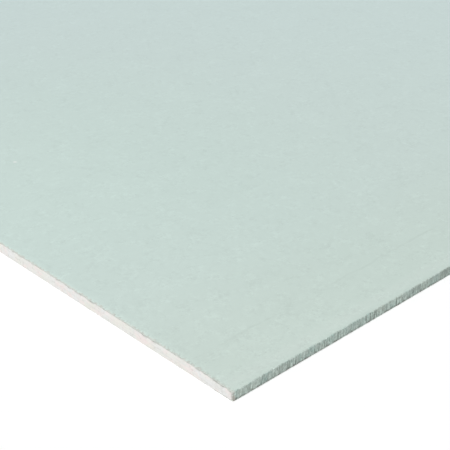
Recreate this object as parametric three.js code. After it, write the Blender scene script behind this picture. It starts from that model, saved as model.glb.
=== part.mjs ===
// A moisture-resistant plasterboard sheet with tapered long edges, lying face up.
// A gypsum core is cast between two papers. The face paper runs over the whole face, down
// both tapers, round the long edges and a short way under the board. The back paper closes
// the underside and is lapped over the two turned-in flaps, which are pressed nearly flush
// with it where they show beside it.
// Millimetres. X runs along the sheet, Y across it and Z up out of the face. The origin is
// the middle of the underside.

import * as THREE from 'three';

// The sheet
const length = 2400;
const width = 1200;
const thickness = 12.5;

// The taper along each long edge, which leaves room for joint tape and filler
const taperWidth = 58;
const taperDepth = 2;
const taperEase = 30; // run over which the flat face turns into the slope

// The papers
const facePaper = 0.35;
const backPaper = 0.35;
const backPaperInset = 7; // from the board's long edge to the edge of the back paper

// The flaps of the face paper, folded in under the board
const flapWidth = 26;
const flapRise = 0.1; // from the underside up to a flap where it shows beside the back paper
const lapRun = 1.5; // over which a flap slants up to pass behind the back paper

// The folds of the face paper, measured on its outer skin
const faceFoldRadius = 1.3;
const backFoldRadius = 0.8;
const foldSteps = 6;

// The straight part of the taper, outside its ease: its slope, its tilt and the skin's height
// at a run from the start of the taper
const taperSlope = taperDepth / (taperWidth - taperEase / 2);
const taperTilt = Math.atan(taperSlope);
const slopeHeight = (run) => thickness - taperSlope * (run - taperEase / 2);

// Where the two papers lap: the edge of the back paper and the tilt of the flap beside it
const backPaperEdge = width / 2 - backPaperInset;
const lapTilt = Math.atan((backPaper - flapRise) / lapRun);

// One side of the face paper's section, drawn at a depth below its outer skin: from the start
// of the taper, over the two folds and the slant beside the back paper, to the flap's free end
function wrapSide(depth) {
  const edge = width / 2;
  const taperStart = edge - taperWidth;
  const slopeDepth = depth / Math.cos(taperTilt);
  const lapShift = depth * Math.tan(lapTilt / 2);
  const faceFoldHeight =
    slopeHeight(taperWidth - faceFoldRadius) - faceFoldRadius / Math.cos(taperTilt);

  const path = new THREE.Path();
  path.moveTo(taperStart, thickness - depth);
  path.quadraticCurveTo(
    taperStart + taperEase / 2, thickness - depth,
    taperStart + taperEase, slopeHeight(taperEase) - slopeDepth
  );
  path.absarc(
    edge - faceFoldRadius, faceFoldHeight,
    faceFoldRadius - depth, Math.PI / 2 - taperTilt, 0, true
  );
  path.absarc(
    edge - backFoldRadius, flapRise + backFoldRadius,
    backFoldRadius - depth, 0, -Math.PI / 2, true
  );
  path.lineTo(backPaperEdge + lapRun + lapShift, flapRise + depth);
  path.lineTo(backPaperEdge + lapShift, backPaper + depth);
  path.lineTo(edge - flapWidth, backPaper + depth);
  return path.getPoints(foldSteps);
}

// The same line on both sides of the board, from the left flap over the face to the right one
function wrapLine(depth) {
  const right = wrapSide(depth);
  const left = right.map((point) => new THREE.Vector2(-point.x, point.y)).reverse();
  return [...left, ...right];
}

// A section drawn across the board, carried from end to end
function alongSheet(outline) {
  const geometry = new THREE.ExtrudeGeometry(new THREE.Shape(outline), {
    depth: length,
    bevelEnabled: false
  });
  const across = new THREE.Vector3(0, 1, 0);
  const up = new THREE.Vector3(0, 0, 1);
  const along = new THREE.Vector3(1, 0, 0);
  geometry.applyMatrix4(new THREE.Matrix4().makeBasis(across, up, along));
  geometry.translate(-length / 2, 0, 0);
  return geometry;
}

// The face paper is the strip between its outer skin and the line where the core begins.
function facePaperSection() {
  return [...wrapLine(0), ...wrapLine(facePaper).reverse()];
}

// The core fills the wrap, and steps down between the flaps to lie on the back paper.
function coreSection() {
  const flapEnd = width / 2 - flapWidth;
  return [
    ...wrapLine(facePaper),
    new THREE.Vector2(flapEnd, backPaper),
    new THREE.Vector2(-flapEnd, backPaper)
  ];
}

// The back paper is the flat strip that the board lies on.
function backPaperSection() {
  return [
    new THREE.Vector2(-backPaperEdge, 0),
    new THREE.Vector2(backPaperEdge, 0),
    new THREE.Vector2(backPaperEdge, backPaper),
    new THREE.Vector2(-backPaperEdge, backPaper)
  ];
}

function layer(name, outline, material) {
  const mesh = new THREE.Mesh(alongSheet(outline), material);
  mesh.name = name;
  return mesh;
}

const gypsum = new THREE.MeshStandardMaterial({ color: 0xe9e7e2, roughness: 0.95, metalness: 0 });
const greenPaper = new THREE.MeshStandardMaterial({ color: 0xc7d6cf, roughness: 0.85, metalness: 0 });
const greyPaper = new THREE.MeshStandardMaterial({ color: 0xb9b1a2, roughness: 0.9, metalness: 0 });

const sheet = new THREE.Group();
sheet.name = 'drywall_sheet';
sheet.add(layer('gypsum_core', coreSection(), gypsum));
sheet.add(layer('face_paper', facePaperSection(), greenPaper));
sheet.add(layer('back_paper', backPaperSection(), greyPaper));

export default sheet;
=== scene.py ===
import math

import bmesh
import bpy
import numpy as np
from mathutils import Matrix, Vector, noise


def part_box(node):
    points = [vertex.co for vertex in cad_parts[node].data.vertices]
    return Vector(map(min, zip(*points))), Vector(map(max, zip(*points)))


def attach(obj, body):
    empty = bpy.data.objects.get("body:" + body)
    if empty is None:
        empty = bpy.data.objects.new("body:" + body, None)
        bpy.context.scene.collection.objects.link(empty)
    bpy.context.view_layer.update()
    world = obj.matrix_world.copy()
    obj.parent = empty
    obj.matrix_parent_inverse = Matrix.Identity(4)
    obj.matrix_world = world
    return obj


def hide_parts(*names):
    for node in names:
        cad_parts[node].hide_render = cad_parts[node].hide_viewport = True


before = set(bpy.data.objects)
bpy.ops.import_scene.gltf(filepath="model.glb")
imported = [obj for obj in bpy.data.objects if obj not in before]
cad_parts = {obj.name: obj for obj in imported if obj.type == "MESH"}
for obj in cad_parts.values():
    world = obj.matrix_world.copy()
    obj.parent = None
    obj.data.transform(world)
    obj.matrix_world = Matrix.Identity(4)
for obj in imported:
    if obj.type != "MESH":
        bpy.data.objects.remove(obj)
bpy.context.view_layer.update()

mm = 0.001
lookScene = bpy.context.scene
lookScene.view_settings.view_transform = "Standard"

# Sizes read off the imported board, which lies about the origin
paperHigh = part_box("face_paper")[1]
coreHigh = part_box("gypsum_core")[1]
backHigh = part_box("back_paper")[1]
halfLength = paperHigh.x
halfWidth = paperHigh.y
boardTop = paperHigh.z
paperThickness = paperHigh.z - coreHigh.z
backTop = backHigh.z
backHalfWidth = backHigh.y
print(f"board {2 * halfLength:.3f} x {2 * halfWidth:.3f} x {boardTop:.4f} m")

# Section of the board, as its solids have it
boardSection = {
    "taperWidth": 58 * mm,
    "taperDepth": 2 * mm,
    "taperEase": 30 * mm,  # run over which the flat face turns into the slope
    "faceFoldRadius": 1.3 * mm,
    "backFoldRadius": 0.8 * mm,
    "flapWidth": 26 * mm,
    "flapRise": 0.1 * mm,  # from the underside up to a flap where it shows
    "lapRun": 1.5 * mm,  # over which a flap slants up to pass behind the back paper
    "creaseRoom": 0.4 * mm,  # how much deeper the paper is drawn along its folded edges
    "creaseRoomEase": 4 * mm,
}

taperStart = halfWidth - boardSection["taperWidth"]
taperSlope = boardSection["taperDepth"] / (boardSection["taperWidth"] - boardSection["taperEase"] / 2)
taperTilt = math.atan(taperSlope)
faceFoldY = halfWidth - boardSection["faceFoldRadius"]
backFoldY = halfWidth - boardSection["backFoldRadius"]
backFoldZ = boardSection["flapRise"] + boardSection["backFoldRadius"]
flapEnd = halfWidth - boardSection["flapWidth"]
panelHalfWidth = faceFoldY + boardSection["faceFoldRadius"] * math.sin(taperTilt)


def smoothStep(low, high, x):
    t = np.clip((np.asarray(x, float) - low) / (high - low), 0, 1)
    return t * t * (3 - 2 * t)


def noiseAt(first, second, pattern, shift=0):
    # smooth noise at places in metres; a pattern is the size of its lumps, its seed, its
    # middle and how far it swings either way
    size, seed, middle, reach = pattern
    first, second = np.broadcast_arrays(first, second)
    flat = zip(first.ravel() / size, second.ravel() / size)
    values = [noise.noise(Vector((a, b, seed + shift))) for a, b in flat]
    return middle + reach * np.array(values).reshape(first.shape)


def faceHeight(y):
    # height of the paper's skin over the face, with the slope of both tapers
    ease = boardSection["taperEase"]
    run = np.clip(np.abs(y) - taperStart, 0, None)
    drop = np.where(run < ease, taperSlope * run**2 / (2 * ease), taperSlope * (run - ease / 2))
    return boardTop - drop


faceFoldZ = float(faceHeight(faceFoldY)) - boardSection["faceFoldRadius"] / math.cos(taperTilt)
arrisRun = boardSection["faceFoldRadius"] * (math.pi / 2 - taperTilt)
uprightRun = faceFoldZ - backFoldZ
edgeRun = arrisRun + uprightRun + boardSection["backFoldRadius"] * math.pi / 2  # round both folds


def wrapDepth(run):
    # depth from the skin to the core; run goes over the folded edge, from 0 at the arris
    ease = boardSection["creaseRoomEase"]
    room = smoothStep(-ease, 0, run) * (1 - smoothStep(edgeRun, edgeRun + ease, run))
    return paperThickness + boardSection["creaseRoom"] * room


# Wear at the four corners, shared by the papers and the core
cornerWear = {
    "reach": 3.0 * mm,
    "push": {(-1, -1): 0.35 * mm, (1, -1): 0.7 * mm, (1, 1): 0.5 * mm, (-1, 1): 0.8 * mm},
    "sink": 0.6,  # how much of the push also squeezes the thickness
}


def wearCorners(points):
    # moves points near a corner in towards the board, and squeezes its upper half
    middle = boardTop / 2
    for (sideX, sideY), push in cornerWear["push"].items():
        away = np.hypot(points[:, 0] - sideX * halfLength, points[:, 1] - sideY * halfWidth)
        near = np.exp(-((away / cornerWear["reach"]) ** 2))
        points[:, 0] -= sideX * push * near
        points[:, 1] -= sideY * push * near
        points[:, 2] -= cornerWear["sink"] * push * near * np.clip(points[:, 2] / middle - 1, 0, 1)


# Where the cut ends crumble: the gypsum breaks back right under the face paper. Here and
# below, what ends in "Noise" is a pattern for noiseAt.
crumble = {
    "least": 0.12 * mm,  # how deep it goes everywhere
    "common": 0.5 * mm,  # how much deeper it goes in broad stretches
    "commonNoise": (22 * mm, 41.3, 0.5, 0.5),
    "chip": 0.9 * mm,  # and in single chips
    "chipNoise": (7.5 * mm, 47.3, 0, 1),
    "chipLevels": (0.08, 0.32),  # of that noise, over which a chip deepens
    "calm": 0.75,  # how much of it is left away from the corners
    "calmRun": (180 * mm, 240 * mm),  # distances in from the long edges over which it calms down
    "reach": 1.15 * mm,  # how far below the paper it goes
    "reachGrowth": (0.75, 0.5),  # share of that where nothing breaks, and what each mm adds
    "sag": 0.4 * mm,  # how far the plies hang down over the deepest chips
    "sagFrom": 0.35 * mm,  # how deep a chip is before they hang
    "press": 1.05 * mm,  # how far the knife presses the paper's edge down
    "pressNoise": (6 * mm, 71.3, 0.75, 0.35),
    "pressRow": 9 * mm,  # where each end reads that noise, either side of its middle
    "pressReach": 1.15 * mm,
    "pressHeight": (6 * mm, 10 * mm),  # heights between which the board starts to give way
    "bend": 1.2 * mm,  # how much further down it is bent along some stretches
    "bendNoise": (90 * mm, 160.3, 0, 1),
}


def crumbleDepth(y, z, end):
    common = noiseAt(y, z, crumble["commonNoise"], end)
    chips = smoothStep(*crumble["chipLevels"], noiseAt(y, z, crumble["chipNoise"], end))
    rough = 1 - (1 - crumble["calm"]) * smoothStep(*crumble["calmRun"], halfWidth - np.abs(y))
    return crumble["least"] + rough * (crumble["common"] * common + crumble["chip"] * chips)


def pressDown(y, z, away, end):
    # how far a point near a cut end is pressed down together with the paper's edge
    amount = crumble["press"] * noiseAt(y, end * crumble["pressRow"], crumble["pressNoise"])
    amount += crumble["bend"] * np.clip(noiseAt(y, end, crumble["bendNoise"]), 0, 1)
    return amount * np.exp(-away / crumble["pressReach"]) * smoothStep(*crumble["pressHeight"], z)


# Mesh helpers
def newMesh():
    return {"points": [], "flat": [], "count": 0, "faces": [], "parts": []}


def addPoints(build, points, flat=None):
    # flat gives the places that the points have on an unfolded, even sheet
    points = np.asarray(points, float).reshape(-1, 3)
    ids = np.arange(build["count"], build["count"] + len(points))
    build["points"].append(points)
    build["flat"].append(points.copy() if flat is None else flat)
    build["count"] += len(points)
    return ids


def gather(build):
    # all points so far as one array, which may be edited in place
    build["points"] = [np.concatenate(build["points"])]
    return build["points"][0]


def addFaces(build, faces, part):
    build["faces"] += [list(map(int, face)) for face in faces]
    build["parts"] += [part] * len(faces)


def joinRows(build, outer, inner, part):
    # faces between two rows of points; one row may have half as many cells as the other
    outer, inner = np.asarray(outer), np.asarray(inner)
    if len(outer) == len(inner):
        addFaces(build, np.stack([outer[:-1], outer[1:], inner[1:], inner[:-1]], 1), part)
        return
    fine, coarse = (outer, inner) if len(outer) > len(inner) else (inner, outer)
    a, b, c = fine[:-1:2], fine[1::2], fine[2::2]
    addFaces(build, np.stack([a, b, coarse[:-1]], 1), part)
    addFaces(build, np.stack([b, coarse[1:], coarse[:-1]], 1), part)
    addFaces(build, np.stack([b, c, coarse[1:]], 1), part)


def joinGrid(build, rows, part):
    for outer, inner in zip(rows[:-1], rows[1:]):
        joinRows(build, outer, inner, part)


def ringOf(points):
    # a row that goes round a panel and comes back to its first point
    return np.append(points, points[0])


def panelRing(halfX, halfY, columns, endCells, inset, stride, relax):
    # places round a panel, counter-clockwise from its low corner; columns are the places
    # along its two long sides, which even out over the distance relax
    ringX, ringY, cells = halfX - inset, halfY - inset, endCells // stride
    sides = []
    for places in columns:
        places = places[::stride] * ringX / halfX
        even = np.linspace(places[0], places[-1], len(places))
        sides.append(places + (even - places) * smoothStep(0, relax, inset))
    low, high = sides
    across = np.linspace(-ringY, ringY, cells + 1)
    lowY, highY = np.full(len(low) - 1, -ringY), np.full(len(high) - 1, ringY)
    return np.column_stack([
        np.concatenate([low[:-1], np.full(cells, ringX), high[:0:-1], np.full(cells, -ringX)]),
        np.concatenate([lowY, across[:-1], highY, across[:0:-1]]),
    ])


def addPanel(build, halfX, halfY, columns, endCells, rings, height, part, relax=30 * mm):
    # a sheet with small cells along its border that grow towards the middle; rings is
    # (distance in from the border, whether the cells double there), and height gives z;
    # relax is how far in the columns are even again
    def lay(places):
        laid = np.column_stack([places, height(places[:, 1])])
        level = np.column_stack([places, height(np.zeros(len(places)))])
        return addPoints(build, laid, level)

    stride = 1
    placed = []
    for inset, doubles in rings:
        stride *= 2 if doubles else 1
        ids = lay(panelRing(halfX, halfY, columns, endCells, inset, stride, relax))
        if placed:
            joinRows(build, ringOf(placed[-1]), ringOf(ids), part)
        placed.append(ids)
    # an even grid inside the last ring, whose border is that ring
    cellsX, cellsY = (len(columns[0]) - 1) // stride, endCells // stride
    grid = np.zeros((cellsY + 1, cellsX + 1), int)
    grid[0], grid[1:, -1] = ids[: cellsX + 1], ids[cellsX + 1 : cellsX + cellsY + 1]
    grid[-1] = ids[cellsX + cellsY : 2 * cellsX + cellsY + 1][::-1]
    grid[1:-1, 0] = ids[2 * cellsX + cellsY + 1 :][::-1]
    x = np.linspace(inset - halfX, halfX - inset, cellsX + 1)[1:-1]
    y = np.linspace(inset - halfY, halfY - inset, cellsY + 1)[1:-1]
    places = np.stack(np.meshgrid(x, y), -1).reshape(-1, 2)
    grid[1:-1, 1:-1] = lay(places).reshape(cellsY - 1, cellsX - 1)
    joinGrid(build, grid, part)
    return placed


def addObject(name, data):
    added = bpy.data.objects.new(name, data)
    lookScene.collection.objects.link(added)
    return added


# Map on which the finishes are baked when the board is exported. Each piece lists its parts:
# the finish they take, the axes that run along and up the map, and how many rows they are
# cut into, each as wide as the map and so many pixels high.
bakingMap = {
    "name": "OFBake",
    "size": 1024,
    "gap": 4,
}


def layOutMap(mesh, build, parts):
    size, gap = bakingMap["size"], bakingMap["gap"]
    corners = np.concatenate(build["faces"])
    face = np.repeat(np.arange(len(build["faces"])), [len(each) for each in build["faces"]])
    flat = np.concatenate(build["flat"])[corners]
    names = np.array(build["parts"])[face]
    places = np.zeros((len(corners), 2))
    foot = gap
    for name, (_, axes, rows, height) in parts.items():
        mine = names == name
        along, up = (flat[mine, "XYZ".index(axis)] for axis in axes)
        along = (along - along.min()) / np.ptp(along) * rows
        up = (up - up.min()) / np.ptp(up)
        count = np.bincount(face[mine])[face[mine]]
        row = np.clip(np.floor(np.bincount(face[mine], along)[face[mine]] / count), 0, rows - 1)
        places[mine, 0] = gap + (along - row) * (size - 2 * gap)
        places[mine, 1] = foot + row * (height + gap) + up * height
        foot += rows * (height + gap)
    print(f"  its map takes {foot} of {size} pixels")
    layer = mesh.uv_layers.new(name=bakingMap["name"])
    layer.uv.foreach_set("vector", (places / size).ravel())


def finishPiece(name, build, materials, parts, cadNode, sharpAngle, attributes=None):
    mesh = bpy.data.meshes.new(name)
    mesh.from_pydata(gather(build).tolist(), [], build["faces"])
    for material in materials:
        mesh.materials.append(material)
    mesh.polygons.foreach_set("material_index", [parts[part][0] for part in build["parts"]])
    layOutMap(mesh, build, parts)
    work = bmesh.new()
    work.from_mesh(mesh)
    bmesh.ops.recalc_face_normals(work, faces=work.faces)
    work.to_mesh(mesh)
    work.free()
    for attributeName, values in (attributes or {}).items():
        layer = mesh.attributes.new(attributeName, "FLOAT", "POINT")
        padded = np.zeros(len(mesh.vertices), np.float32)
        padded[: len(values)] = values
        layer.data.foreach_set("value", padded)
    mesh.shade_smooth()
    mesh.set_sharp_from_angle(angle=sharpAngle)
    piece = addObject(name, mesh)
    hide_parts(cadNode)
    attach(piece, "root")
    triangles = sum(len(face) - 2 for face in build["faces"])
    print(f"{name}: {len(mesh.vertices)} points, {triangles} triangles")


# Node helpers. These are levels of a noise texture between which it is spread: the closer
# they lie, the harder its patches.
softPatches, clearPatches = (0.3, 0.7), (0.35, 0.65)
firmPatches, hardPatches = (0.38, 0.62), (0.4, 0.6)


def startMaterial(name):
    material = bpy.data.materials.new(name)
    material.use_nodes = True
    tree = material.node_tree
    place = tree.nodes.new("ShaderNodeTexCoord").outputs["Object"]
    return material, tree, tree.nodes["Principled BSDF"], place


def stretched(tree, place, size):
    # coordinates in which one unit is `size` metres along each axis
    mapping = tree.nodes.new("ShaderNodeMapping")
    mapping.inputs["Scale"].default_value = [1 / length if length else 0 for length in size]
    tree.links.new(place, mapping.inputs["Vector"])
    return mapping.outputs["Vector"]


def noiseOf(tree, place, size, detail=2.0, rough=0.5, distortion=0.0):
    # a noise texture whose lumps are about `size` metres across
    node = tree.nodes.new("ShaderNodeTexNoise")
    node.inputs["Scale"].default_value = 1 / size
    node.inputs["Detail"].default_value = detail
    node.inputs["Roughness"].default_value = rough
    node.inputs["Distortion"].default_value = distortion
    tree.links.new(place, node.inputs["Vector"])
    return node.outputs["Fac"]


def spread(tree, value, low, high, toLow=0.0, toHigh=1.0):
    node = tree.nodes.new("ShaderNodeMapRange")
    for socket, number in zip(("From Min", "From Max", "To Min", "To Max"), (low, high, toLow, toHigh)):
        node.inputs[socket].default_value = number
    tree.links.new(value, node.inputs["Value"])
    return node.outputs["Result"]


def combine(tree, operation, first, second):
    node = tree.nodes.new("ShaderNodeMath")
    node.operation = operation
    for socket, value in zip(node.inputs, (first, second)):
        if isinstance(value, (int, float)):
            socket.default_value = value
        else:
            tree.links.new(value, socket)
    return node.outputs["Value"]


def mixColours(tree, factor, first, second, blendType="MIX"):
    node = tree.nodes.new("ShaderNodeMix")
    node.data_type = "RGBA"
    node.blend_type = blendType
    inputs = {socket.identifier: socket for socket in node.inputs}
    for key, value in (("Factor_Float", factor), ("A_Color", first), ("B_Color", second)):
        if isinstance(value, (int, float, tuple)):
            inputs[key].default_value = value
        else:
            tree.links.new(value, inputs[key])
    return next(socket for socket in node.outputs if socket.identifier == "Result_Color")


def bumpOf(tree, height, relief, under=None):
    # a relief is the strength of the bump and its height
    node = tree.nodes.new("ShaderNodeBump")
    node.inputs["Strength"].default_value, node.inputs["Distance"].default_value = relief
    tree.links.new(height, node.inputs["Height"])
    if under is not None:
        tree.links.new(under, node.inputs["Normal"])
    return node.outputs["Normal"]


def attributeOf(tree, name):
    node = tree.nodes.new("ShaderNodeAttribute")
    node.attribute_name = name
    return node.outputs["Fac"]


def distanceTo(tree, place, point):
    node = tree.nodes.new("ShaderNodeVectorMath")
    node.operation = "DISTANCE"
    node.inputs[1].default_value = point
    tree.links.new(place, node.inputs[0])
    return node.outputs["Value"]


def distanceAlong(tree, place, axis):
    # distance from the origin along one axis
    split = tree.nodes.new("ShaderNodeSeparateXYZ")
    tree.links.new(place, split.inputs["Vector"])
    return combine(tree, "ABSOLUTE", split.outputs[axis], 0.0)


def gapFrom(tree, place, axis, half):
    # distance in from the nearer of the two borders that cross an axis
    return combine(tree, "SUBTRACT", half, distanceAlong(tree, place, axis))


def times(tree, first, second):
    return combine(tree, "MULTIPLY", first, second)


def plus(tree, first, second):
    return combine(tree, "ADD", first, second)


def swing(tree, value, levels, reach):
    # a value spread over as much below nothing as above it
    return spread(tree, value, *levels, -reach, reach)


def shaded(tree, tone, factor):
    # a colour made lighter or darker by a factor
    return mixColours(tree, 1.0, tone, factor, "MULTIPLY")


def dressShader(tree, shader, look, tone, normal, fibres=None):
    # roughness follows the fibres where they are given
    tree.links.new(tone, shader.inputs["Base Color"])
    tree.links.new(normal, shader.inputs["Normal"])
    shader.inputs["Specular IOR Level"].default_value = look["specular"]
    if fibres is None:
        shader.inputs["Roughness"].default_value = look["roughness"]
    else:
        rough = spread(tree, fibres, *softPatches, *look["roughness"])
        tree.links.new(rough, shader.inputs["Roughness"])


def srgb(red, green, blue):
    # screen colour, 0 to 255, as the linear colour that the shader wants
    def linear(level):
        level /= 255
        return level / 12.92 if level <= 0.04045 else ((level + 0.055) / 1.055) ** 2.4
    return (linear(red), linear(green), linear(blue), 1.0)


# Finishes
greenPaperLook = {
    "nearColour": srgb(197.8, 212.7, 205.6),
    "farColour": srgb(198.5, 214.2, 213),  # the dye drifts a little bluer into the sheet
    "drift": (0.0, 1.2),  # distances from the corner where it starts and ends
    "driftFrom": (-halfLength, -halfWidth, 0),
    "freshColour": srgb(198.8, 217.6, 211.5),  # a patch where the dye is fresher
    "freshAt": (-halfLength, -halfWidth + 0.4, 0),
    "freshReach": (0.5, 0.0),
    "agedColour": srgb(196.5, 211.8, 201.5),  # the paper yellows a little towards its long edges
    "aged": 0.3,
    "agedReach": (0.17, 0.04),
    "dustAndSheenColour": srgb(225, 232, 228),  # gypsum dust left along the cut ends; also the colour of the painted light beside the arrises
    "dust": 0.105,
    "dustReach": (0.25, 0.03),
    "arrisSheen": 0.085,  # painted light: the face is painted paler beside its arrises, where its edge turns towards the light
    "arrisSheenReach": (3 * mm, 8 * mm, 12 * mm, 20 * mm),  # in from there it starts, is full, fades, ends
    "crumbColour": srgb(221, 229, 225),  # a crumb of gypsum trodden into the face
    "crumbAt": (-halfLength + 118.2 * mm, -halfWidth + 485.9 * mm, boardTop),
    "crumbSize": (3.2 * mm, 0.8 * mm),
    # how much clouds, faint bands of the paper machine, mottle and fibres change the tone
    "cloud": 0.013,
    "cloudSize": 30 * mm,
    "streak": 0.006,
    "streakSize": (300 * mm, 12 * mm, 12 * mm),
    "mottle": 0.032,
    "mottleSize": 5 * mm,
    "fibre": 0.011,
    "fibreSize": 0.8 * mm,
    "fleck": 0.05,  # sparse fibres that took more or less of the dye
    "fleckSize": 2.1 * mm,
    "fleckLevels": ((0.62, 0.72), (0.38, 0.28)),  # of dark flecks and of pale ones
    "uneven": (0.25, 1.7),  # share of all these in calm and in busy patches of the paper
    "unevenSize": 16 * mm,
    "farShare": 0.55,  # how much of them is left far from the corner
    "beltMark": 0.07,  # the line that the forming belt leaves where the taper starts
    "beltWidth": 2 * mm,
    "beltPatch": 24 * mm,
    "beltStray": 1.2 * mm,
    "beltLevels": (0.42, 0.6),
    # painted shade with some dirt, in the pleats' valleys, below the arris and along the belt's line
    "creaseDirtAndShadeColour": srgb(72, 86, 78),
    # soil, which at the foot of the folded edge also stands for painted contact shade
    "soilAndShadeColour": srgb(121, 123, 115),
    "footSoilAndShadeMost": 1.3,  # how dense the soil and painted contact shade at the foot of the edge are in its blotches
    "grimeColour": srgb(180, 203, 196),
    "grimeWarm": srgb(188, 201, 192),
    "grimeSize": 2.6 * mm,
    "tingeSize": 15 * mm,  # of the patches where the grime is warmer
    "edgeShade": 0.14,  # painted light and shade: how far upright streaks, standing for the lit and shaded flanks of the pleats, change the tone of the folded edge
    "edgeShadeSize": (2 * mm, 9 * mm, 9 * mm),
    "edgeGrain": 0.13,
    "edgeGrainSize": 1.0 * mm,
    "edgeMarks": (  # rubbed and smudged stretches: place along the edge, reach, change of tone
        (8 * mm, 20 * mm, 0.12), (34 * mm, 6 * mm, 0.1), (43.5 * mm, 7 * mm, -0.14),
        (62 * mm, 11 * mm, -0.19), (120 * mm, 14 * mm, 0.16), (159 * mm, 14 * mm, -0.09),
        (172 * mm, 9 * mm, 0.1), (232 * mm, 9 * mm, 0.09), (246 * mm, 10 * mm, -0.22),
        (303 * mm, 28 * mm, -0.27),
    ),
    "edgeFade": 2.0,  # over 1, these tones set in more gently below the arris
    "plyColour": srgb(195.5, 202, 195),  # the bare ply where the green one is torn off
    "tornWidth": (0.2 * mm, 2.6 * mm),
    "tornSize": (0, 6 * mm, 6 * mm),
    "tornLevels": (0.38, 0.68),
    "tornFringe": 0.5 * mm,  # how far single fibres stray from the tear
    "tornBlur": 0.15 * mm,
    "handled": 0.075,  # soil on the face along the cut ends, near the corners
    "handledReach": (4.5 * mm, 1.5 * mm),
    "handledLevels": (0.45, 0.65),
    "handledMost": 3,
    "scuffColour": srgb(190, 191, 183),  # frayed paper at the corners
    "scuffDark": srgb(174, 170, 162),
    "scuffPatches": (0.2, 1.6),  # share of a scuff between and in its patches
    "scuffLevels": (0.35, 0.6),
    "frayLevels": (0.42, 0.58),
    "fibreRelief": (0.35, 0.05 * mm),
    "beltRelief": (1.0, 0.1 * mm),
    "ribRelief": (0.9, 0.6 * mm),  # fine ribs on the folded edges
    "ribSize": (1.6 * mm, 6 * mm, 6 * mm),
    "roughness": (0.78, 0.9),
    "specular": 0.25,
}


def paperPatterns(tree, place):
    # what the marks on the paper share
    look = greenPaperLook
    return {
        "place": place,
        "fibres": noiseOf(tree, place, look["fibreSize"], detail=4, rough=0.65, distortion=0.6),
        "clouds": noiseOf(tree, place, look["cloudSize"], detail=3),
        "flecks": noiseOf(tree, place, look["fleckSize"], detail=1),
        "grime": noiseOf(tree, place, look["grimeSize"], detail=1),
        "endGap": gapFrom(tree, place, "X", halfLength),
        "sideGap": gapFrom(tree, place, "Y", halfWidth),
        "folded": attributeOf(tree, "foldedEdge"),
    }


def unevenness(tree, given, drift):
    # clouds, bands, mottle, fibres and flecks as one factor
    look, place, light = greenPaperLook, given["place"], 0.0
    patterns = {
        "cloud": given["clouds"],
        "streak": noiseOf(tree, stretched(tree, place, look["streakSize"]), 1.0),
        "mottle": noiseOf(tree, place, look["mottleSize"], detail=3),
        "fibre": given["fibres"],
    }
    for key, pattern in patterns.items():
        light = plus(tree, swing(tree, pattern, softPatches, look[key]), light)
    for levels, change in zip(look["fleckLevels"], (-look["fleck"], look["fleck"])):
        light = plus(tree, spread(tree, given["flecks"], *levels, 0, change), light)
    uneven = noiseOf(tree, place, look["unevenSize"], detail=1)
    light = times(tree, light, spread(tree, uneven, *clearPatches, *look["uneven"]))
    light = times(tree, light, spread(tree, drift, 0, 1, 1, look["farShare"]))
    return plus(tree, light, 1.0)


def faceTone(tree, given):
    look, place, sideGap = greenPaperLook, given["place"], given["sideGap"]
    # the dye
    drift = spread(tree, distanceTo(tree, place, look["driftFrom"]), *look["drift"])
    tone = mixColours(tree, drift, look["nearColour"], look["farColour"])
    fresh = spread(tree, distanceTo(tree, place, look["freshAt"]), *look["freshReach"])
    tone = mixColours(tree, fresh, tone, look["freshColour"])
    aged = spread(tree, sideGap, *look["agedReach"], 0, look["aged"])
    tone = mixColours(tree, aged, tone, look["agedColour"])
    # dust, the painted light beside the arrises and the crumb
    dust = spread(tree, given["endGap"], *look["dustReach"], 0, look["dust"])
    starts, full, fades, ends = look["arrisSheenReach"]
    # painted light: a paler band beside the arrises
    arrisSheen = spread(tree, sideGap, ends, fades, 0, look["arrisSheen"])
    arrisSheen = times(tree, spread(tree, sideGap, starts, full), arrisSheen)
    tone = mixColours(tree, plus(tree, dust, arrisSheen), tone, look["dustAndSheenColour"])
    crumb = spread(tree, distanceTo(tree, place, look["crumbAt"]), *look["crumbSize"])
    tone = mixColours(tree, crumb, tone, look["crumbColour"])
    return shaded(tree, tone, unevenness(tree, given, drift))


def beltMarkOf(tree, given):
    # the line along the start of the taper, which strays a little and fades in places
    look = greenPaperLook
    patches = noiseOf(tree, given["place"], look["beltPatch"], detail=2)
    line = plus(tree, swing(tree, patches, softPatches, look["beltStray"]), boardSection["taperWidth"])
    away = combine(tree, "ABSOLUTE", combine(tree, "SUBTRACT", given["sideGap"], line), 0.0)
    shown = spread(tree, given["clouds"], *look["beltLevels"])
    return times(tree, spread(tree, away, look["beltWidth"], 0), shown)


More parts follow.
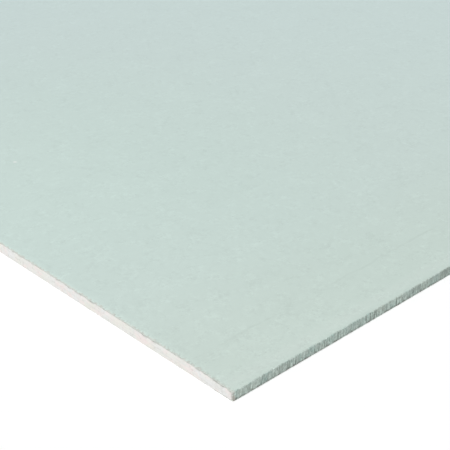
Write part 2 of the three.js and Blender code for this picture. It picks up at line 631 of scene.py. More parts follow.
def foldedTone(tree, given, tone):
    # grime, painted light and shade in upright streaks and creases, marks, and soil with painted contact
    # shade at the foot of the folded edges
    look, place, grime, folded = greenPaperLook, given["place"], given["grime"], given["folded"]
    grimy = times(tree, spread(tree, grime, *hardPatches), folded)
    tinge = spread(tree, noiseOf(tree, place, look["tingeSize"], detail=2), *firmPatches)
    tone = mixColours(tree, grimy, tone, mixColours(tree, tinge, look["grimeColour"], look["grimeWarm"]))
    # painted light and shade of the pleats' flanks as upright streaks
    flankShading = noiseOf(tree, stretched(tree, place, look["edgeShadeSize"]), 1.0)
    grain = noiseOf(tree, place, look["edgeGrainSize"])
    shade = plus(tree, swing(tree, flankShading, clearPatches, look["edgeShade"]),
                 swing(tree, grain, clearPatches, look["edgeGrain"]))
    for along, reach, change in look["edgeMarks"]:
        away = distanceTo(tree, place, (along - halfLength, -halfWidth, boardTop / 2))
        shade = plus(tree, shade, spread(tree, away, reach, 0, 0, change))
    shade = times(tree, shade, combine(tree, "POWER", folded, look["edgeFade"]))
    tone = shaded(tree, tone, plus(tree, shade, 1.0))
    # painted shade and dirt in the creases, darkest where they are deepest
    tone = mixColours(tree, attributeOf(tree, "creaseDirtAndShade"), tone, look["creaseDirtAndShadeColour"])
    # soil with painted contact shade at the foot of the edge
    blotches = spread(tree, grime, *firmPatches, 0, look["footSoilAndShadeMost"])
    return mixColours(tree, times(tree, attributeOf(tree, "footSoilAndShade"), blotches), tone, look["soilAndShadeColour"])


def cutEdgeTone(tree, given, tone):
    # the torn strip and the soil along the cut ends, and the scuffed corners
    look, grime, endGap = greenPaperLook, given["grime"], given["endGap"]
    torn = noiseOf(tree, stretched(tree, given["place"], look["tornSize"]), 1.0, detail=4)
    width = spread(tree, torn, *look["tornLevels"], *look["tornWidth"])
    fringe = swing(tree, given["fibres"], softPatches, look["tornFringe"])
    ragged = plus(tree, combine(tree, "SUBTRACT", width, endGap), fringe)
    bare = spread(tree, ragged, -look["tornBlur"], look["tornBlur"])
    tone = mixColours(tree, bare, tone, look["plyColour"])
    handled = times(tree, spread(tree, endGap, *look["handledReach"], 0, look["handled"]),
                    spread(tree, given["sideGap"], *crumble["calmRun"], 1, 0))
    smears = spread(tree, grime, *look["handledLevels"], 0, look["handledMost"])
    tone = mixColours(tree, times(tree, handled, smears), tone, look["soilAndShadeColour"])
    scuff = times(tree, attributeOf(tree, "scuff"), spread(tree, grime, *softPatches, *look["scuffPatches"]))
    fray = spread(tree, given["flecks"], *look["frayLevels"])
    frayed = mixColours(tree, fray, look["scuffColour"], look["scuffDark"])
    return mixColours(tree, spread(tree, scuff, *look["scuffLevels"]), tone, frayed)


def makeGreenPaper():
    look = greenPaperLook
    material, tree, shader, place = startMaterial("greenPaper")
    given = paperPatterns(tree, place)
    beltMark = beltMarkOf(tree, given)
    tone = faceTone(tree, given)
    # the belt's line is painted darker, as dirt and shade in its pressed groove
    tone = mixColours(tree, times(tree, beltMark, look["beltMark"]), tone, look["creaseDirtAndShadeColour"])
    tone = cutEdgeTone(tree, given, foldedTone(tree, given, tone))
    # fibres all over, the belt's line, and ribs on the folded edges
    weave = bumpOf(tree, given["fibres"], look["fibreRelief"])
    pressed = bumpOf(tree, spread(tree, beltMark, 0, 1, 1, 0), look["beltRelief"], weave)
    ribs = noiseOf(tree, stretched(tree, place, look["ribSize"]), 1.0, detail=3)
    normal = bumpOf(tree, times(tree, ribs, given["folded"]), look["ribRelief"], pressed)
    dressShader(tree, shader, look, tone, normal, given["fibres"])
    return material


cutPliesLook = {
    "colour": srgb(202.5, 207.5, 200),
    "darkColour": srgb(120, 122, 113),
    "plySize": 0.5 * mm,
    "blotchSize": 5 * mm,
    "blotchLevels": (0.45, 0.6),
    "relief": (0.8, 0.1 * mm),
    "roughness": 0.95,
    "specular": 0.1,
}


def makeCutPlies():
    # the plies that show where a paper is cut
    look = cutPliesLook
    material, tree, shader, place = startMaterial("cutPaperPlies")
    plies = noiseOf(tree, place, look["plySize"], detail=4, rough=0.7)
    blotches = noiseOf(tree, place, look["blotchSize"], detail=2)
    worn = times(tree, spread(tree, plies, *softPatches), spread(tree, blotches, *look["blotchLevels"]))
    tone = mixColours(tree, worn, look["colour"], look["darkColour"])
    dressShader(tree, shader, look, tone, bumpOf(tree, plies, look["relief"]))
    return material


gypsumLook = {
    "colour": srgb(230, 230.5, 229.5),
    "creamColour": srgb(231, 231, 221.5),
    "creamSize": 34 * mm,
    "warmColour": srgb(235.5, 227, 224),
    "warmSize": 11 * mm,
    "warmLevels": (0.45, 0.65),
    "greyColour": srgb(224, 225, 221),
    "greySize": (8 * mm, 26 * mm, 1.6 * mm),  # marks the knife leaves along the cut
    "greyLevels": (0.45, 0.7),
    "heightTone": (0.975, 1.055),  # the cut is darker towards its foot and lighter towards its top
    # painted shade in the pits, under the paper's overhang where the edge crumbled, and at the broken corners
    "recessShadeColour": srgb(143, 143, 137),
    "speckleSize": 1.3 * mm,
    "speckleTone": (0.965, 1.02),
    "grainSize": 0.5 * mm,
    "grainTone": (0.98, 1.02),
    "relief": (0.6, 0.2 * mm),
    "roughness": 0.95,
    "specular": 0.1,
}


def makeGypsum():
    look = gypsumLook
    material, tree, shader, place = startMaterial("cutGypsum")
    cream = noiseOf(tree, place, look["creamSize"], detail=2)
    tone = mixColours(tree, spread(tree, cream, *hardPatches), look["colour"], look["creamColour"])
    warm = noiseOf(tree, place, look["warmSize"], detail=2)
    tone = mixColours(tree, spread(tree, warm, *look["warmLevels"]), tone, look["warmColour"])
    grey = noiseOf(tree, stretched(tree, place, look["greySize"]), 1.0, detail=2)
    tone = mixColours(tree, spread(tree, grey, *look["greyLevels"]), tone, look["greyColour"])
    # painted shade in pits, under the paper's overhang and at the broken corners
    tone = mixColours(tree, attributeOf(tree, "recessShade"), tone, look["recessShadeColour"])
    speckle = noiseOf(tree, place, look["speckleSize"], detail=1)
    tone = shaded(tree, tone, spread(tree, speckle, *softPatches, *look["speckleTone"]))
    grain = noiseOf(tree, place, look["grainSize"], detail=5, rough=0.7)
    tone = shaded(tree, tone, spread(tree, grain, *softPatches, *look["grainTone"]))
    height = distanceAlong(tree, place, "Z")
    tone = shaded(tree, tone, spread(tree, height, 0, boardTop, *look["heightTone"]))
    dressShader(tree, shader, look, tone, bumpOf(tree, grain, look["relief"]))
    return material


backPaperLook = {
    "colour": srgb(186, 178, 162),
    "cloudColour": srgb(176, 167, 150),
    "cloudSize": 30 * mm,
    "fleckColour": srgb(128, 120, 106),
    "fleckSize": (2.4 * mm, 0.9 * mm, 0.9 * mm),
    "fleckLevels": (0.7, 0.78),
    "fibreSize": 0.7 * mm,
    "fibreTone": (0.95, 1.04),
    "relief": (0.5, 0.08 * mm),
    "roughness": (0.85, 0.97),
    "specular": 0.2,
}


def makeBackPaper():
    look = backPaperLook
    material, tree, shader, place = startMaterial("greyBackPaper")
    clouds = noiseOf(tree, place, look["cloudSize"], detail=4)
    tone = mixColours(tree, spread(tree, clouds, *clearPatches), look["colour"], look["cloudColour"])
    flecks = noiseOf(tree, stretched(tree, place, look["fleckSize"]), 1.0, detail=1)
    tone = mixColours(tree, spread(tree, flecks, *look["fleckLevels"]), tone, look["fleckColour"])
    fibres = noiseOf(tree, place, look["fibreSize"], detail=4, rough=0.65, distortion=0.8)
    tone = shaded(tree, tone, spread(tree, fibres, *softPatches, *look["fibreTone"]))
    dressShader(tree, shader, look, tone, bumpOf(tree, fibres, look["relief"]), fibres)
    return material


greenPaper = makeGreenPaper()
cutPaperPlies = makeCutPlies()
cutGypsum = makeGypsum()
greyBackPaper = makeBackPaper()
print("finishes made")


# Face paper
facePaper = {
    "edgeCells": 3072,  # along each long edge, closest together at the pleats
    "endCells": 1216,  # across each cut end
    "rings": [  # distance in from the border of the face, and whether the cells double there
        (0.0, False), (0.7 * mm, False), (1.6 * mm, True), (3.2 * mm, True), (6 * mm, True),
        (11 * mm, True), (20 * mm, True), (29 * mm, True), (36 * mm, False), (43 * mm, False),
        (50 * mm, False), (57 * mm, False),
    ],
    "foldRings": 3,  # how many of them the relief of the folded edges reaches
    "arrisSteps": 3,
    "uprightSteps": 4,
    "backFoldSteps": 2,
    "flapRow": 1.2 * mm,  # from the back fold to the next row of cells under the board
    "lapRows": (3 * mm, 8 * mm),  # from the edge of the back paper to the rows above it
    "pleatGap": (1.8 * mm, 0.5 * mm, 1.8 * mm),  # least, and what chance adds in a crowd and outside one
    "crowdNoise": (14 * mm, 0, 0, 1),
    "crowdLevels": (-0.3, 0.3),
    "pleatDepth": (0.12 * mm, 0.36 * mm),
    "depthLean": 1.3,  # over 1, more of them are shallow than deep
    "crowdDepth": (0.6, 1.15),  # share of that depth outside a crowd and in it
    "pleatGrowth": (0.6, 1.25),  # how the depth of a pleat grows from the arris to the underside
    "darkestDepth": 0.42 * mm,  # of a crease that is painted at its darkest, with dirt and shade
    "pleatBefore": (0.18, 0.38),  # from its near shoulder to the valley, as a share of the gap
    "pleatAfter": (0.25, 0.58),  # from the valley to its far shoulder
    "pleatWidest": 1.7 * mm,
    "pleatSlant": 0.12,
    "steepest": 0.2,
    "pleatApart": 0.3,  # share of their gap that pleats keep where they slant together
    "pleatStart": (0.8 * mm, 2.4 * mm),  # run from the arris where a whole pleat begins
    "shortShare": (0.1, 0.5),  # how many pleats are short, in stretches with few and with many
    "shortNoise": (45 * mm, 0, 0, 1),
    "shortRow": 346.5 * mm,  # where across that noise is read
    "shortLevels": (-0.4, 0.4),
    "shortStart": (0, 0.5),  # how much lower a short pleat begins, as a share of the upright edge
    "shortRun": (0.25, 0.6),  # how much of the upright edge it covers
    "pleatFade": 0.9 * mm,
    "ripple": 0.28 * mm,
    "rippleNoise": (2.6 * mm, 23.3, 0.5, 1),
    "rippleStretch": 3,  # how much longer its lumps are down the edge than along it
    "wave": 0.06 * mm,
    "waveNoise": (40 * mm, 25.3, 0.5, 0.5),
    "noiseShift": 10,  # of the seeds for each edge
    "foldStart": (-0.6 * mm, 1.2 * mm),  # runs from the arris over which all this sets in
    "footCalm": 0.7,  # how much of it is gone at the foot of the edge
    "footRun": (-2.5 * mm, 0.3 * mm),  # runs from there over which it goes
    "endReach": 6 * mm,  # how far in from a cut end the paper is pressed and nicked
    "nick": 0.5 * mm,
    "nickReach": 0.9 * mm,
    "fringeNoise": (3 * mm, 73.3, 0.15, 0.15),  # share of a nick that is there all along
    "nickNoise": (8 * mm, 75.3, 0, 1),
    "nickLevels": (0.2, 0.6),
    "nickShare": 0.8,
    "nickLimits": (0.02, 1),
    "innerStart": 0.3 * mm,  # how far the inner skin starts behind the cut
    "grimeStart": (-0.3 * mm, 0.5 * mm),  # runs from the arris over which the folded edge starts
    "footSoilAndShadeUnder": 1 * mm,  # how far round under the board the dirt and painted contact shade go
    "footSoilAndShadeHeight": 2.2 * mm,
    # painted shade: a darker line just below the arris, where the edge turns away from the light
    "arrisShade": 0.085,
    "arrisShadeAt": (1.7 * mm, 1.0 * mm),  # run below the arris where it is darkest, and its width
    "scuffReach": (4 * mm / 3, 4 * mm),  # distances from its cut ends over which the wrap is frayed
    "scuffWidth": 1.8 * mm,  # distance in from the long edge over which that dies away
    "seed": 22,
    "noiseSeeds": (0, 100),
    "sharpAngle": math.radians(55),
    "parts": {
        "face": (0, "XY", 1, 730),
        "left edge": (0, "XY", 4, 24),
        "right edge": (0, "XY", 4, 24),
        "left flap": (0, "XY", 1, 5),
        "right flap": (0, "XY", 1, 5),
        "near plies": (1, "YZ", 1, 5),
        "far plies": (1, "YZ", 1, 5),
        "inside": (1, "YX", 1, 16),
    },
}
sideNames = {-1: "right", 1: "left"}
endNames = {-1: "near", 1: "far"}


def makePleats(generator):
    # upright creases that form where the paper is folded round the wet core
    look = facePaper
    least, crowded, sparse = look["pleatGap"]
    start, seed = -halfLength + least, generator.uniform(*look["noiseSeeds"])
    middles, crowds = [], []
    while start < halfLength - least:
        middles.append(start)
        crowd = float(smoothStep(*look["crowdLevels"], noiseAt(start, 0, look["crowdNoise"], seed)))
        crowds.append(crowd)
        start += least + generator.exponential(crowded * crowd + sparse * (1 - crowd))
    count = len(middles)
    gaps = np.diff([-halfLength, *middles, halfLength])
    stretch = noiseAt(middles, look["shortRow"], look["shortNoise"], seed)
    short = generator.random(count) < np.interp(stretch, look["shortLevels"], look["shortShare"])
    top = generator.uniform(*look["pleatStart"], count)
    top[short] += generator.uniform(*look["shortStart"], count)[short] * uprightRun
    bottom = np.where(short, top + generator.uniform(*look["shortRun"], count) * uprightRun, edgeRun)
    shallow, deep = look["pleatDepth"]
    return {
        "middle": np.array(middles),
        "before": np.minimum(generator.uniform(*look["pleatBefore"], count) * gaps[:-1], look["pleatWidest"]),
        "after": np.minimum(generator.uniform(*look["pleatAfter"], count) * gaps[1:], look["pleatWidest"]),
        "depth": (shallow + (deep - shallow) * generator.random(count) ** look["depthLean"])
                 * np.interp(crowds, (0, 1), look["crowdDepth"]),
        "slant": generator.normal(0, look["pleatSlant"], count).clip(-look["steepest"], look["steepest"]),
        "top": top,
        "bottom": bottom,
    }


def edgeColumns(pleats, count):
    # places of the cells' sides along an edge: one in the valley of each pleat, one on each
    # shoulder, and the rest shared out over the widest gaps
    middle = pleats["middle"]
    fixed = np.column_stack([middle - pleats["before"], middle, middle + pleats["after"]]).ravel()
    fixed = np.concatenate([[-halfLength], fixed, [halfLength]])
    gaps = np.diff(fixed)
    cells = np.ones(len(gaps), int)
    for _ in range(count - len(gaps)):
        cells[np.argmax(gaps / cells)] += 1
    runs = [np.linspace(a, b, n, endpoint=False) for a, b, n in zip(fixed, fixed[1:], cells)]
    return np.concatenate([*runs, [halfLength]])


def pleatShift(x, run, pleats):
    # how far the slant of the pleats carries places along the edge, `run` below the arris;
    # pleats may draw together there, but never cross
    middle = pleats["middle"]
    shoulders = np.column_stack([middle - pleats["before"], middle + pleats["after"]]).ravel()
    shoulders = np.array([-halfLength, *shoulders, halfLength])
    shifts = np.array([0, *np.repeat(pleats["slant"] * np.clip(run, 0, edgeRun), 2), 0])
    still = (1 - facePaper["pleatApart"]) * shoulders
    moved = still + shifts
    pushedOn = np.maximum.accumulate(moved)
    heldBack = np.minimum.accumulate(moved[::-1])[::-1]
    moved = np.clip((pushedOn + heldBack) / 2, moved[0], moved[-1])
    return np.interp(x, shoulders, moved - still)


def edgeInset(x, run, pleats, side):
    # how far the skin lies in from its plane at places x, `run` below the arris, and how
    # deep in a crease each place is, which sets how dark its painted shade and dirt are
    look = facePaper
    middle, shift = pleats["middle"], side * look["noiseShift"]
    ends = ((middle + pleats["after"])[:-1] + (middle - pleats["before"])[1:]) / 2
    pleat = {key: values[np.searchsorted(ends, x)] for key, values in pleats.items()}
    off = x - pleat["middle"]
    across = np.clip(1 - np.maximum(off / pleat["after"], -off / pleat["before"]), 0, 1)
    begun = smoothStep(pleat["top"] - look["pleatFade"], pleat["top"], run)
    ended = smoothStep(pleat["bottom"], pleat["bottom"] + look["pleatFade"], run)
    growth = np.interp(run, (0, edgeRun), look["pleatGrowth"])
    dip = pleat["depth"] * across * begun * (1 - ended) * growth
    ripple = np.clip(noiseAt(x, run / look["rippleStretch"], look["rippleNoise"], shift), 0, 1)
    wave = noiseAt(x, 0, look["waveNoise"], shift)
    foot = smoothStep(*(edgeRun + np.array(look["footRun"])), run)
    fade = smoothStep(*look["foldStart"], run) * (1 - look["footCalm"] * foot)
    inset = dip + look["ripple"] * ripple + look["wave"] * wave
    return inset * fade, np.clip(dip * fade / look["darkestDepth"], 0, 1)


def foldRows():
    # rows of the wrap on one side, from the arris down and under to the flap's free end
    look = facePaper
    rows = []

    def addRow(run, y, z, out, up, doubles=False):
        rows.append({"run": run, "y": y, "z": z, "out": out, "up": up, "doubles": doubles})

    radius = boardSection["faceFoldRadius"]
    sweep = math.pi / 2 - taperTilt
    for angle in np.linspace(sweep, 0, look["arrisSteps"] + 1)[1:]:
        out, up = math.cos(angle), math.sin(angle)
        addRow(radius * (sweep - angle), faceFoldY + radius * out, faceFoldZ + radius * up, out, up)
    for down in np.linspace(0, uprightRun, look["uprightSteps"] + 1)[1:]:
        addRow(arrisRun + down, halfWidth, faceFoldZ - down, 1, 0)
    radius = boardSection["backFoldRadius"]
    for angle in np.linspace(0, math.pi / 2, look["backFoldSteps"] + 1)[1:]:
        out, up = math.cos(angle), -math.sin(angle)
        run = arrisRun + uprightRun + radius * angle
        addRow(run, backFoldY + radius * out, backFoldZ + radius * up, out, up)
    rise, lapEdge = boardSection["flapRise"], backHalfWidth
    places = [
        (backFoldY - look["flapRow"], rise, True), (lapEdge + boardSection["lapRun"], rise, True),
        (lapEdge, backTop, False), *((lapEdge - back, backTop, True) for back in look["lapRows"]),
        (flapEnd, backTop, True),
    ]
    for y, z, doubles in places:
        addRow(edgeRun + backFoldY - y, y, z, 0, -1, doubles)
    return rows


def layFolds(build, panel, pleats, columns, rows):
    # lays the skin over both folded edges; returns its rows, and how each place on them and
    # on the outer rings of the panel is to be moved
    look = facePaper
    placed = {-1: [], 1: []}
    moves = []
    for side, pleat, places in zip((-1, 1), pleats, columns):
        cells, ends, x = look["edgeCells"], look["endCells"], places
        for ring, (inset, doubles) in zip(panel[: look["foldRings"]], look["rings"]):
            if doubles:
                cells, ends, x = cells // 2, ends // 2, x[::2]
            ids = ring[: cells + 1] if side < 0 else ring[cells + ends : 2 * cells + ends + 1][::-1]
            dip, creaseDirtAndShade = edgeInset(x, -inset, pleat, side)
            moves.append((ids, -inset, dip, creaseDirtAndShade, side * math.sin(taperTilt), math.cos(taperTilt)))
        above, x = moves[-look["foldRings"]][0], places  # from the border of the panel down
        for row in rows:
            x = x[::2] if row["doubles"] else x
            moved, even = x + pleatShift(x, row["run"], pleat), np.ones(len(x))
            laid = np.column_stack([moved, even * side * row["y"], even * row["z"]])
            level = np.column_stack([moved, even * side * (panelHalfWidth + row["run"]), even * boardTop])
            below = addPoints(build, laid, level)
            part = "edge" if row["y"] >= backHalfWidth else "flap"
            joinRows(build, above, below, f"{sideNames[side]} {part}")
            dip, creaseDirtAndShade = edgeInset(x, row["run"], pleat, side)
            moves.append((below, row["run"], dip, creaseDirtAndShade, side * row["out"], row["up"]))
            placed[side].append(below)
            above = below
    return placed, moves


def closePaperEnds(build, panel, placed, rows):
    # the cut plies at both ends, the inner skin between them and the flaps' free edges
    edgeCells, endCells = facePaper["edgeCells"], facePaper["endCells"]
    border = panel[0]
    points = gather(build)
    faceLines = {
        -1: np.append(border[2 * edgeCells + endCells :], border[0])[::-1],
        1: border[edgeCells : edgeCells + endCells + 1],
    }
    across = points[faceLines[1], 1]
    tilt = np.where(np.abs(across) > taperStart, np.sign(across) * math.sin(taperTilt), 0)
    fold = {key: np.array([row[key] for row in rows]) for key in ("run", "out", "up")}
    out = np.concatenate([-fold["out"][::-1], tilt, fold["out"]])
    up = np.concatenate([fold["up"][::-1], np.sqrt(1 - tilt**2), fold["up"]])
    run = np.concatenate([fold["run"][::-1], np.abs(across) - panelHalfWidth, fold["run"]])
    inward = -np.column_stack([np.zeros(len(out)), out, up])
    flat = np.concatenate(build["flat"])
    inner = {}
    for end in (-1, 1):
        last = 0 if end < 0 else -1
        right, left = ([ids[last] for ids in placed[side]] for side in (-1, 1))
        skin = np.array([*right[::-1], *faceLines[end], *left])
        cut = points[skin]
        broken = crumbleDepth(cut[:, 1], cut[:, 2], end) - (halfLength - np.abs(cut[:, 0]))
        sag = np.clip(broken - crumble["sagFrom"], 0, crumble["sag"]) * (run < arrisRun + uprightRun)
        thick = (paperThickness + sag)[:, None]
        rim = addPoints(build, cut + inward * thick, flat[skin] - [0, 0, paperThickness])
        thick, back = wrapDepth(run)[:, None], [end * facePaper["innerStart"], 0, 0]
        inner[end] = addPoints(build, cut + inward * thick - back, flat[skin] - [0, 0, 1] * thick)
        joinRows(build, skin, rim, f"{endNames[end]} plies")
        joinRows(build, rim, inner[end], f"{endNames[end]} plies")
        for flapCorner in (0, -1):
            corner = [skin[flapCorner], rim[flapCorner], inner[end][flapCorner]]
            addFaces(build, [corner], f"{endNames[end]} plies")
    joinRows(build, inner[-1], inner[1], "inside")
    for side, place in ((-1, 0), (1, -1)):
        addFaces(build, [[*placed[side][-1], inner[1][place], inner[-1][place]]], "inside")


def nickDepth(y, z, away, end):
    # how far the knife has nicked the paper back along its cut edges
    look = facePaper
    nicked = smoothStep(*look["nickLevels"], noiseAt(y + end, z, look["nickNoise"]))
    nicked = noiseAt(y + end, z, look["fringeNoise"]) + look["nickShare"] * nicked
    return look["nick"] * np.clip(nicked, *look["nickLimits"]) * np.exp(-away / look["nickReach"])


def makeFacePaper():
    look = facePaper
    build = newMesh()
    generator = np.random.default_rng(look["seed"])
    pleats = [makePleats(generator) for _ in range(2)]
    columns = [edgeColumns(each, look["edgeCells"]) for each in pleats]
    panel = addPanel(build, halfLength, panelHalfWidth, columns, look["endCells"], look["rings"],
                     faceHeight, "face")
    rows = foldRows()
    placed, moves = layFolds(build, panel, pleats, columns, rows)
    points = gather(build)
    creaseDirtAndShade, footSoilAndShade, foldedEdge = (np.zeros(len(points)) for _ in range(3))
    darkest, breadth = look["arrisShadeAt"]
    for ids, run, dip, depth, out, up in moves:
        points[ids, 1] -= dip * out
        points[ids, 2] -= dip * up
        creaseDirtAndShade[ids] = depth
        if run <= edgeRun + look["footSoilAndShadeUnder"]:
            foldedEdge[ids] = smoothStep(*look["grimeStart"], run)
            # painted shade below the arris, added to the creases' darkness
            creaseDirtAndShade[ids] += look["arrisShade"] * math.exp(-(((run - darkest) / breadth) ** 2))
            # soil with painted contact shade, darkest at the foot of the edge
            footSoilAndShade[ids] = 1 - smoothStep(boardSection["flapRise"], look["footSoilAndShadeHeight"], points[ids, 2])
    # the knife presses the paper down along both cut ends and leaves nicks in it
    away = halfLength - np.abs(points[:, 0])
    near = np.flatnonzero(away < look["endReach"])
    y, z, end = points[near, 1], points[near, 2], np.sign(points[near, 0])
    points[near, 2] -= pressDown(y, z, away[near], end)
    points[near, 0] -= end * nickDepth(y, z, away[near], end)
    wearCorners(points)
    side = halfWidth - np.abs(points[:, 1])
    scuff = (1 - smoothStep(*look["scuffReach"], away)) * np.exp(-((side / look["scuffWidth"]) ** 2))
    closePaperEnds(build, panel, placed, rows)
    attributes = {"creaseDirtAndShade": creaseDirtAndShade, "foldedEdge": foldedEdge, "footSoilAndShade": footSoilAndShade, "scuff": scuff}
    finishPiece("facePaperSheet", build, [greenPaper, cutPaperPlies], look["parts"], "face_paper",
                look["sharpAngle"], attributes)


makeFacePaper()


# Gypsum core
gypsumCore = {
    "clearance": 0.02 * mm,  # kept to the papers, so that no two skins share a place
    "cellSize": 0.68 * mm,  # across the cut ends
    # shares of the core's height at which its cut ends have rows of points, closest at the top
    "cellRows": (0, 0.02, 0.05, 0.1, 0.16, 0.23, 0.3, 0.37, 0.44, 0.51, 0.58, 0.65, 0.72, 0.78, 0.84,
                 0.885, 0.92, 0.945, 0.965, 0.98, 0.992, 1),
    "foldSteps": 4,
    "digits": 7,  # to which places across the core are rounded, so that none comes twice
    "recess": 0.14 * mm,
    "recessNoise": (18 * mm, 31.3, 0.5, 0.5),
    "grit": 0.07 * mm,
    "gritNoises": ((0.9 * mm, 35.3, 0, 1), (0.5 * mm, 37.3, 0, 0.5)),
    "breakPits": (0.5 * mm, 1.1 * mm),  # depths of the crumbled edge over which its painted shade darkens
    "breakPale": 0.2,  # how dark that painted shade is before that
    "pitDepth": 0.45 * mm,
    "pitShare": (0.3, 1),  # of that depth
    "pitSize": (0.5 * mm, 0.95 * mm),
    "pitReach": 2,  # how many times its size a pit still dips
    # how dark the painted shade in a pit is
    "pitShade": (0.05, 0.35),
    "pitHeight": (1 * mm, 11.5 * mm),
    "pitBorder": 3 * mm,  # from the long edges to the nearest pits
    "pitsPerEnd": 700,
    "cornerBreak": 0.7 * mm,
    "cornerNoise": (1.5 * mm, 39.3, 0.6, 0.4),
    "cornerReach": 2.0 * mm,
    # painted shade at the broken corners
    "cornerShade": 0.7,
    "darkNoise": (2.2 * mm, 43.3, 0.6, 0.6),
    "shoulder": 4 * mm,  # how far in from its ends the core is whole
    "seed": 5,
    "sharpAngle": math.radians(40),
    "parts": {
        "near end": (0, "YZ", 6, 76),
        "far end": (0, "YZ", 6, 76),
        "inside": (0, "YX", 1, 24),
    },
}


def coreSection():
    # columns across the core: y, its underside and its top
    look = gypsumCore
    gap = look["clearance"]
    deep = wrapDepth(0) + gap  # the depth of the core behind the folded edges
    faceRadius = boardSection["faceFoldRadius"] - deep
    backRadius = boardSection["backFoldRadius"] - deep
    lapTilt = math.atan((backTop - boardSection["flapRise"]) / boardSection["lapRun"])
    lapEdge = backHalfWidth + paperThickness * math.tan(lapTilt / 2)
    lapFoot = lapEdge + boardSection["lapRun"]
    turn = np.sin(np.linspace(0, math.pi / 2, look["foldSteps"] + 1))
    folds = [*(backFoldY + backRadius * turn), *(faceFoldY + faceRadius * turn)]
    fixed = np.unique(np.round([0, flapEnd - gap, flapEnd, lapEdge, lapFoot, *folds], look["digits"]))
    pieces = [np.linspace(a, b, max(1, math.ceil((b - a) / look["cellSize"])), endpoint=False)
              for a, b in zip(fixed, fixed[1:])]
    half = np.concatenate([*pieces, fixed[-1:]])
    y = np.concatenate([-half[:0:-1], half])
    away = np.abs(y)
    depth = wrapDepth(away - panelHalfWidth) + gap
    top = faceHeight(y) - depth / np.where(away > taperStart, math.cos(taperTilt), 1)
    turned = np.clip(away - faceFoldY, 0, faceRadius)
    top = np.where(away > faceFoldY, faceFoldZ + np.sqrt(faceRadius**2 - turned**2), top)
    depth = wrapDepth(edgeRun + backFoldY - away) + gap
    flap = np.interp(away, [lapEdge, lapFoot], [backTop, boardSection["flapRise"]]) + depth
    bottom = np.where(away > flapEnd - gap / 2, flap, backTop + gap)
    turned = np.clip(away - backFoldY, 0, backRadius)
    bottom = np.where(away > backFoldY, backFoldZ - np.sqrt(backRadius**2 - turned**2), bottom)
    return y, bottom, top


def strikePits(y, z, depth, recessShade, generator):
    # small round holes where bubbles and grains broke out of a cut end, each painted darker inside as shade
    look = gypsumCore
    order = np.argsort(y)
    ordered = y[order]
    for _ in range(look["pitsPerEnd"]):
        size = generator.uniform(*look["pitSize"])
        atY = generator.uniform(-1, 1) * (halfWidth - look["pitBorder"])
        atZ = generator.uniform(*look["pitHeight"])
        deep = look["pitDepth"] * generator.uniform(*look["pitShare"])
        dark = generator.uniform(*look["pitShade"])
        reach = look["pitReach"] * size
        low, high = np.searchsorted(ordered, (atY - reach, atY + reach))
        ids = order[low:high]
        shape = np.exp(-((y[ids] - atY) ** 2 + (z[ids] - atZ) ** 2) / size**2)
        depth[ids] += deep * shape
        recessShade[ids] = np.maximum(recessShade[ids], dark * shape)


def endRecess(y, z, top, generator, end):
    # how far each point of a cut end lies behind the knife's plane, and how dark its painted shade is
    look = gypsumCore
    side = halfWidth - wrapDepth(0) - np.abs(y)
    broken = crumbleDepth(y, z, end)
    whole, growth = crumble["reachGrowth"]
    reach = crumble["reach"] * (whole + growth * broken / mm)
    closeness = np.exp(-((np.minimum(top - z, side) / reach) ** 2))
    corner = np.exp(-((side / look["cornerReach"]) ** 2))
    depth = look["recess"] * noiseAt(y, z, look["recessNoise"], end)
    depth += look["grit"] * np.abs(sum(noiseAt(y, z, pattern, end) for pattern in look["gritNoises"]))
    depth += broken * closeness + look["cornerBreak"] * corner * noiseAt(y, z, look["cornerNoise"], end)
    pale = look["breakPale"]
    recessShade = closeness * (pale + (1 - pale) * smoothStep(*look["breakPits"], broken))
    recessShade = np.maximum(recessShade, look["cornerShade"] * corner * noiseAt(y, z, look["darkNoise"], end))
    strikePits(y, z, depth, recessShade, generator)
    return depth, recessShade


def makeGypsumCore():
    look = gypsumCore
    build = newMesh()
    generator = np.random.default_rng(look["seed"])
    y, bottom, top = coreSection()
    z = bottom + np.array(look["cellRows"])[:, None] * (top - bottom)
    across = np.broadcast_to(y, z.shape).ravel()
    grids, recessShades = [], []
    for end in (-1, 1):
        depth, recessShade = endRecess(across, z.ravel(), np.broadcast_to(top, z.shape).ravel(), generator, end)
        height = z.ravel() - pressDown(across, z.ravel(), depth, end)
        ids = addPoints(build, np.column_stack([end * (halfLength - depth), across, height])).reshape(z.shape)
        joinGrid(build, ids, f"{endNames[end]} end")
        grids.append(ids)
        recessShades.append(recessShade)
    sides = (0, slice(None)), (-1, slice(None)), (slice(None), 0), (slice(None), -1)
    for place in sides:
        rows = [grids[0][place]]
        for end in (-1, 1):
            x = np.full(len(rows[0]), end * (halfLength - look["shoulder"]))
            rows.append(addPoints(build, np.column_stack([x, np.broadcast_to(y, z.shape)[place], z[place]])))
        rows.append(grids[1][place])
        joinGrid(build, rows, "inside")
    wearCorners(gather(build))
    finishPiece("gypsumCoreBlock", build, [cutGypsum], look["parts"], "gypsum_core",
                look["sharpAngle"], {"recessShade": np.concatenate(recessShades)})


makeGypsumCore()


# Back paper
backPaper = {
    "edgeCells": 1216,
    "endCells": 608,
    "rings": [
        (0.0, False), (2 * mm, False), (5 * mm, True), (9 * mm, True), (16 * mm, True), (28 * mm, True),
        (48 * mm, True),
    ],
    "short": 0.1 * mm,  # how far its cut ends stay behind the knife's plane
    "wander": 0.35 * mm,  # how far its long edges stray
    "wanderNoise": (60 * mm, 91.3, 0.5, 0.5),
    "wanderReach": 2 * mm,
    "nick": 0.3 * mm,
    "nickNoise": (3 * mm, 93.3, 0.5, 0.5),
    "nickReach": 1.5 * mm,
    "sharpAngle": math.radians(40),
    "parts": {
        "underside": (0, "XY", 1, 980),
        "inside": (0, "XY", 1, 12),
        "plies": (1, "XY", 1, 12),
    },
}


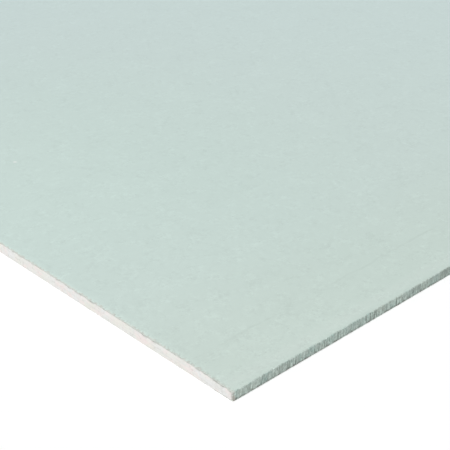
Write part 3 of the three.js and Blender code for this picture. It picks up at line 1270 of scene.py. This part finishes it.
def makeBackPaperSheet():
    look = backPaper
    build = newMesh()
    halfX, halfY = halfLength - look["short"], backHalfWidth
    columns = [np.linspace(-halfX, halfX, look["edgeCells"] + 1)] * 2
    rims = []
    for part, z in (("underside", 0.0), ("inside", backTop)):
        skin = addPanel(build, halfX, halfY, columns, look["endCells"], look["rings"],
                        lambda y, z=z: np.full(len(y), z), part)
        rims.append(ringOf(skin[0]))
    joinRows(build, *rims, "plies")
    points = gather(build)
    x, y = points[:, 0].copy(), points[:, 1].copy()
    strayed = look["wander"] * noiseAt(x, np.sign(y), look["wanderNoise"])
    points[:, 1] -= np.sign(y) * strayed * np.exp(-(halfY - np.abs(y)) / look["wanderReach"])
    nicked = look["nick"] * noiseAt(y, np.sign(x), look["nickNoise"])
    points[:, 0] -= np.sign(x) * nicked * np.exp(-(halfX - np.abs(x)) / look["nickReach"])
    wearCorners(points)
    finishPiece("backPaperSheet", build, [greyBackPaper, cutPaperPlies], look["parts"], "back_paper",
                look["sharpAngle"])


makeBackPaperSheet()


# Floor, light and camera
studio = {
    "floorSize": 120.0,
    "floorDrop": 0.1 * mm,
    "floorColour": (0.86, 0.86, 0.86, 1.0),
    "floorGlow": 0.162,  # lifts the lit floor to the backdrop's white where cameraRays is 1
    "skyLevel": 0.32,  # strength with which the white backdrop lights the board
    "keyStrength": 2.5,
    "keyElevation": 56.0,
    "keyAzimuth": -75.5,  # 0 lights from the -Y side, -90 from the -X side
    "keyWidth": 24.0,
}


def cameraRays(tree):
    # 1 for rays that should see the white backdrop
    path = tree.nodes.new("ShaderNodeLightPath")
    seen = combine(tree, "MAXIMUM", path.outputs["Is Camera Ray"], path.outputs["Is Glossy Ray"])
    return combine(tree, "MAXIMUM", seen, path.outputs["Is Transmission Ray"])


def towardsSky(azimuth, elevation):
    azimuth, elevation = math.radians(azimuth), math.radians(elevation)
    flat = math.cos(elevation)
    return Vector((math.sin(azimuth) * flat, -math.cos(azimuth) * flat, math.sin(elevation)))


def makeFloor():
    size, z = studio["floorSize"] / 2, -studio["floorDrop"]
    mesh = bpy.data.meshes.new("studioFloor")
    corners = [(x * size, y * size, z) for x, y in ((-1, -1), (1, -1), (1, 1), (-1, 1))]
    mesh.from_pydata(corners, [], [(0, 1, 2, 3)])
    floor = addObject("studioFloor", mesh)
    material, tree, shader, _ = startMaterial("studioFloorPaint")
    shader.inputs["Base Color"].default_value = studio["floorColour"]
    shader.inputs["Roughness"].default_value = 1.0
    shader.inputs["Specular IOR Level"].default_value = 0.0
    shader.inputs["Emission Color"].default_value = (1, 1, 1, 1)
    glow = times(tree, cameraRays(tree), studio["floorGlow"])
    tree.links.new(glow, shader.inputs["Emission Strength"])
    mesh.materials.append(material)


def makeSky():
    world = bpy.data.worlds.new("studioSky")
    lookScene.world = world
    world.use_nodes = True
    tree = world.node_tree
    background = tree.nodes["Background"]
    background.inputs["Color"].default_value = (1, 1, 1, 1)
    level = plus(tree, times(tree, cameraRays(tree), 1 - studio["skyLevel"]), studio["skyLevel"])
    tree.links.new(level, background.inputs["Strength"])


def makeKey():
    light = bpy.data.lights.new("keyLight", "SUN")
    light.energy = studio["keyStrength"]
    light.angle = math.radians(studio["keyWidth"])
    key = addObject("keyLight", light)
    towards = towardsSky(studio["keyAzimuth"], studio["keyElevation"])
    key.rotation_euler = towards.to_track_quat("Z", "Y").to_euler()


cornerView = {
    "azimuth": -43.512,
    "elevation": 29.924,
    "distance": 1.42648,
    "fieldOfView": 19.252,
    "aim": (0.20829, 0.22962),  # from the near corner, along the long edge and the cut end
    "clip": (0.05, 500),
}


def makeCamera():
    look = cornerView
    data = bpy.data.cameras.new("cornerCamera")
    data.angle = math.radians(look["fieldOfView"])
    data.clip_start, data.clip_end = look["clip"]
    camera = addObject("cornerCamera", data)
    back = towardsSky(look["azimuth"], look["elevation"])
    aim = Vector((-halfLength + look["aim"][0], -halfWidth + look["aim"][1], 0))
    camera.location = aim + back * look["distance"]
    camera.rotation_euler = back.to_track_quat("Z", "Y").to_euler()
    lookScene.camera = camera


makeFloor()
makeSky()
makeKey()
makeCamera()
print("studio set")
